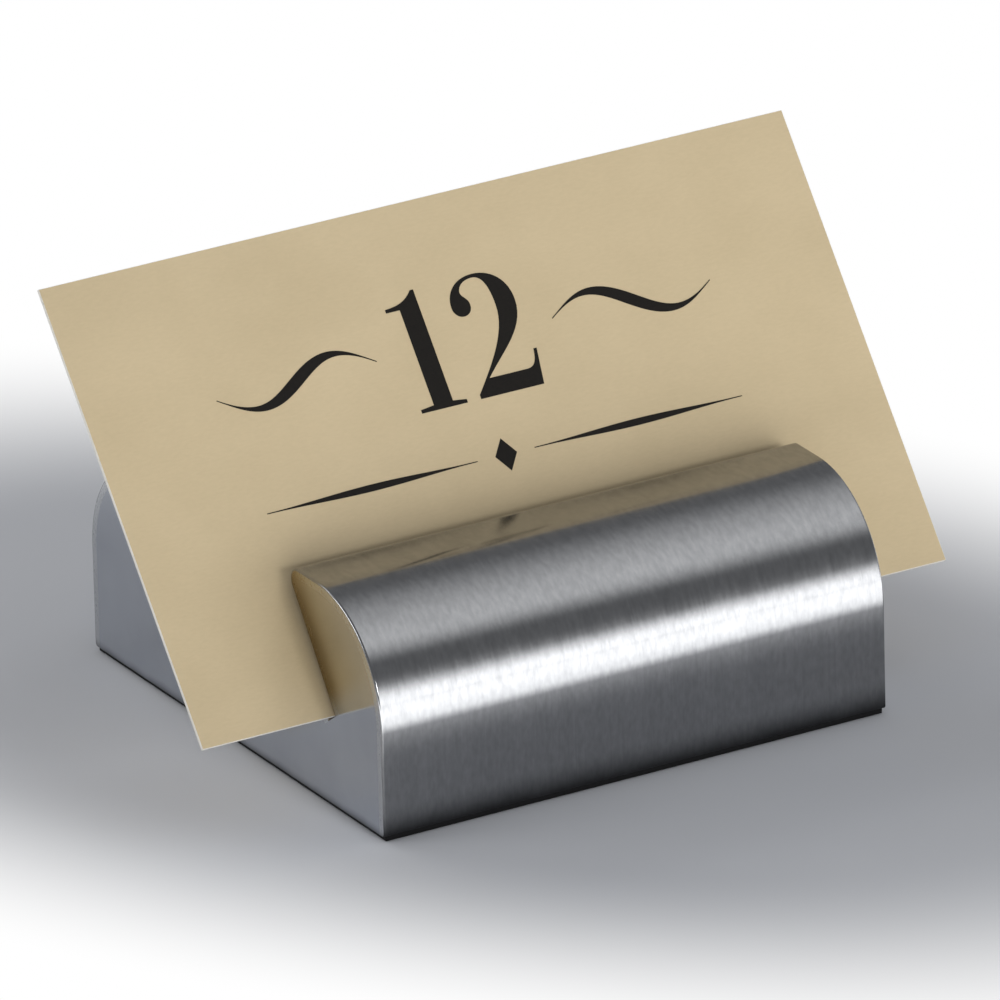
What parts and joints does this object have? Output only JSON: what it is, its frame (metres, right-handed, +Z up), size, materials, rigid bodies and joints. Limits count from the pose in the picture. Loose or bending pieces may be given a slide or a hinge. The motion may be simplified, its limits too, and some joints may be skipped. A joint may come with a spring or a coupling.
{
  "type": "place card holder",
  "caption": "Low steel holder with rounded front and rear top edges, flat polished ends and a slot that holds a place card leaning back.",
  "frame": {"origin": "centre of the pad's underside, on the table", "axes": "+X along the slot, to the right as the card is read; +Y to the back, the way the card leans; +Z up"},
  "size_m": [0.0888, 0.06, 0.0505],
  "materials": {
    "brushed_steel": "satin",
    "polished_steel": "polished",
    "plain_steel": "satin",
    "zinc_steel": "satin",
    "black_rubber": "matte",
    "card_stock": "matte"
  },
  "bodies": {
    "holder": {"front_cover": "brushed_steel", "rear_cover": "brushed_steel", "left_end_plate": "polished_steel", "right_end_plate": "polished_steel", "slot_spacer": "polished_steel", "front_tapped_bar": "plain_steel", "rear_tapped_bar": "plain_steel", "base_plate": "plain_steel", "base_screws": "zinc_steel", "base_pad": "black_rubber"},
    "place_card": {"card": "card_stock"}
  },
  "joints": [
    {"name": "card_lift", "type": "slide", "parent": "holder", "child": "place_card", "axis": [0, 0.6199, 0.7847], "range_m": [0, 0.022]}
  ]
}
